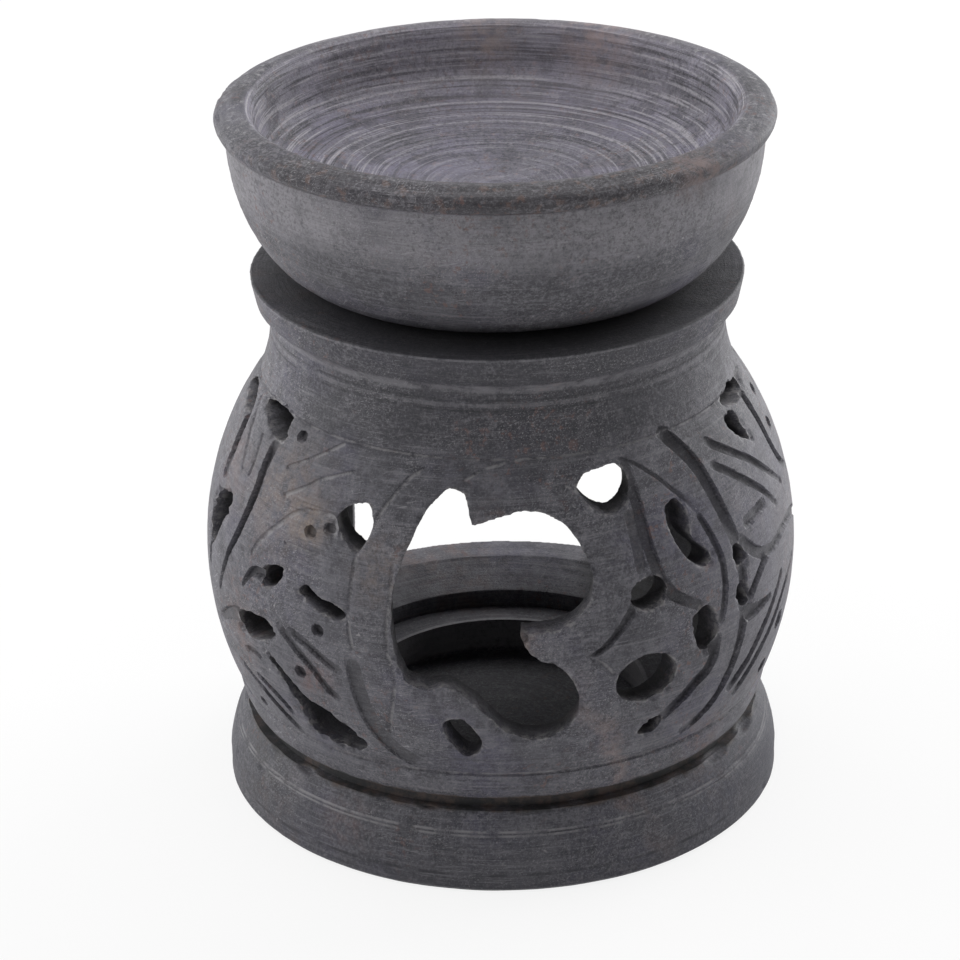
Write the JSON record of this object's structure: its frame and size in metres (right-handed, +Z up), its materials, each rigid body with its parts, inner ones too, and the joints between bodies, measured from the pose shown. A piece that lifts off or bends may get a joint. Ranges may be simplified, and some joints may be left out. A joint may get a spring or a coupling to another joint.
{
  "type": "essential oil burner",
  "caption": "Turned and pierced dark soapstone oil burner: a lift-off oil dish on a bulging carved body with a tea light door, on a round base.",
  "frame": {"origin": "middle of the flat underside of the base, on the turning axis", "axes": "+Z up along the turning axis; the pierced front window faces -Y and the tea light door +Y"},
  "size_m": [0.0828, 0.0808, 0.1],
  "materials": {
    "soapstone": "satin"
  },
  "bodies": {
    "stand": {"base": "soapstone", "body": "soapstone"},
    "dish": {"dish": "soapstone"}
  },
  "joints": [
    {"name": "dish_lift", "type": "slide", "parent": "stand", "child": "dish", "axis": [0, 0, 1], "range_m": [0, 0.03]}
  ]
}
